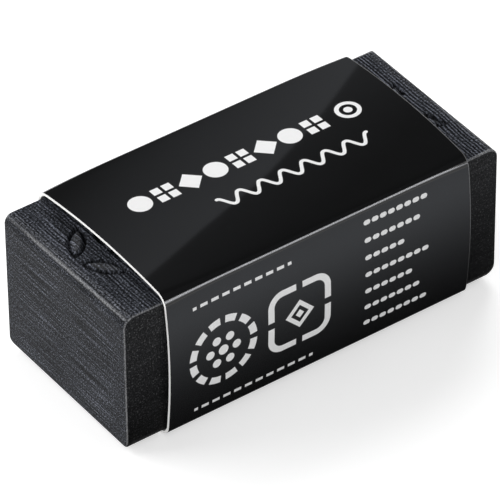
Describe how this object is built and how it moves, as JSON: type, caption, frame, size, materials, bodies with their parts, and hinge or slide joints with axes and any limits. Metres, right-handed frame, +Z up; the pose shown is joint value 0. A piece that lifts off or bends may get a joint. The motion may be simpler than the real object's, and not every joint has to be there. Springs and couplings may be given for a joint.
{
  "type": "vinyl eraser in a card sleeve",
  "caption": "Small block-shaped vinyl eraser with moulded round ends, in a folded card sleeve that slides along it and pulls off at either end.",
  "frame": {"origin": "midway along and midway across the block, on the underside of the sleeve, which is the surface that the eraser rests on", "axes": "+X along the eraser, +Y across it towards the sleeve's glued lap, +Z up through the printed top"},
  "size_m": [0.033, 0.0167, 0.0133],
  "materials": {
    "vinyl": "matte black vinyl, faintly streaked across its moulded faces and speckled on its cut ones",
    "printed_card": null
  },
  "bodies": {
    "block": {"eraser_block": "vinyl"},
    "sleeve": {"card_sleeve": "printed_card"}
  },
  "joints": [
    {"name": "sleeve_slide", "type": "slide", "parent": "block", "child": "sleeve", "axis": [1, 0, 0], "range_m": [-0.0304, 0.0299]}
  ]
}
